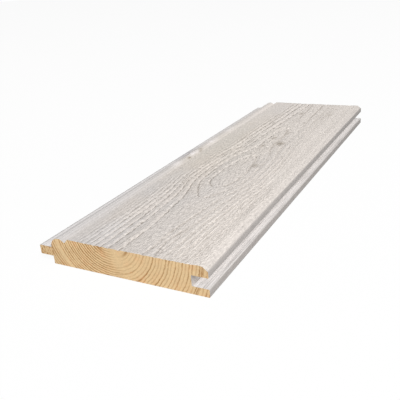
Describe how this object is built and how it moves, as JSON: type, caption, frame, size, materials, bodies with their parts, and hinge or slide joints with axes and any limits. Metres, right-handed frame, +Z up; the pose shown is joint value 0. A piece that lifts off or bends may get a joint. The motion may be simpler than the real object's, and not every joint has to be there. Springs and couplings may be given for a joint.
{
  "type": "tongue-and-groove cladding board",
  "caption": "Flat softwood cladding board: tongue and bead along one long edge, groove and bevel along the other, brushed face with a translucent white glaze, bare sawn ends.",
  "frame": {"origin": "middle of the underside of the board's bounding box, on the plane of its back", "axes": "+X across the board from the tongue to the groove, +Y along its length, +Z up out of the face"},
  "size_m": [0.12, 0.37, 0.019],
  "materials": {
    "glazed_wood": "matte"
  },
  "bodies": {
    "root": {"cladding_board": "glazed_wood"}
  },
  "joints": []
}
